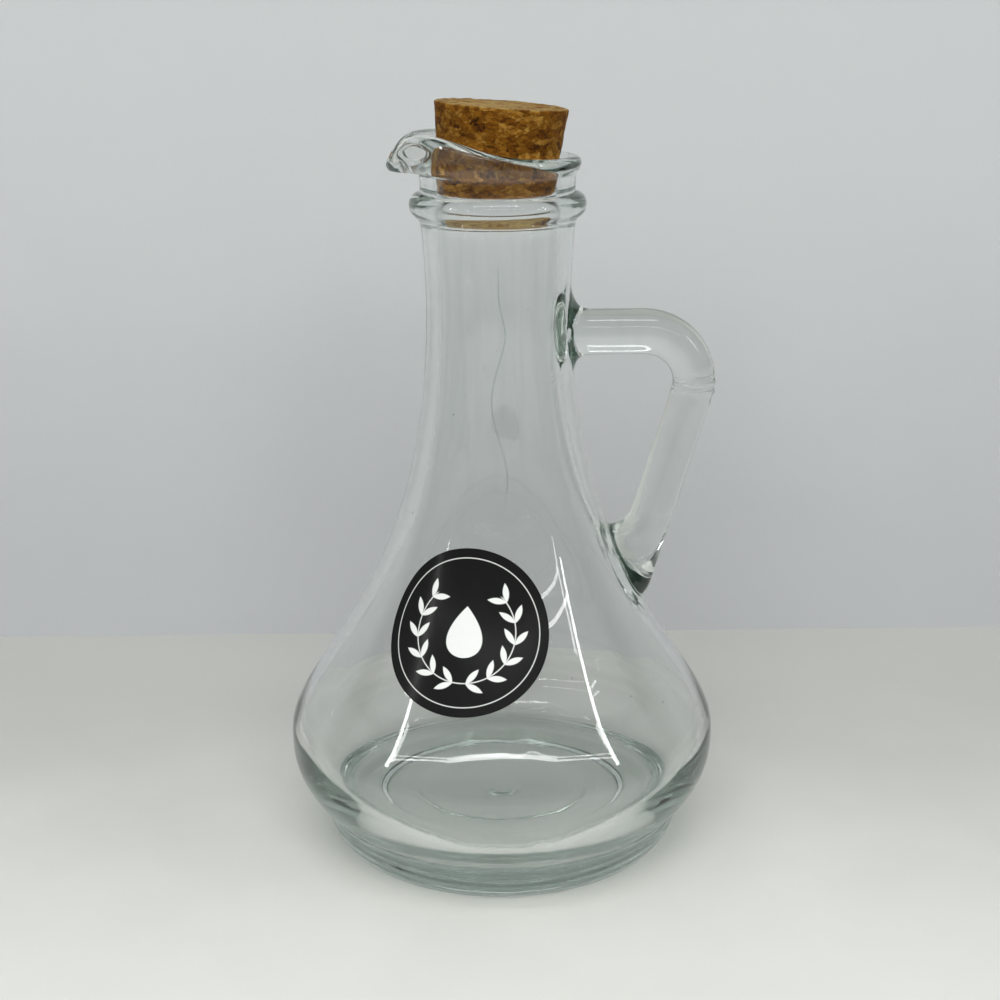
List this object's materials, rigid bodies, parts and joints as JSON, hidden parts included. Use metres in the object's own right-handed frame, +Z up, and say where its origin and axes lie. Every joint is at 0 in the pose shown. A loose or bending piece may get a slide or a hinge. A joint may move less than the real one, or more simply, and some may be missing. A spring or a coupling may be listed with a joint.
{
  "type": "oil bottle",
  "caption": "Clear glass oil bottle with a round belly, tapering neck, beaded collar, pinched pouring lip, looped rod handle and a tapered cork stopper.",
  "frame": {"origin": "middle of the standing ring, on the surface that the bottle stands on", "axes": "+Z up along the neck, -X towards the pouring lip, +X towards the handle, -Y towards the sticker"},
  "size_m": [0.1184, 0.1184, 0.2032],
  "materials": {
    "clear_glass": "clear soda glass with a green cast at its thick edges, fire polished",
    "cork": "pressed cork granules, ground sides, paler top",
    "label_film": "glossy black film with a white print"
  },
  "bodies": {
    "bottle": {"glass_body": "clear_glass", "handle": "clear_glass", "label": "label_film"},
    "stopper": {"cork_stopper": "cork"}
  },
  "joints": [
    {"name": "stopper_pull", "type": "slide", "parent": "bottle", "child": "stopper", "axis": [0.0767, 0, 0.9971], "range_m": [0, 0.04]}
  ]
}
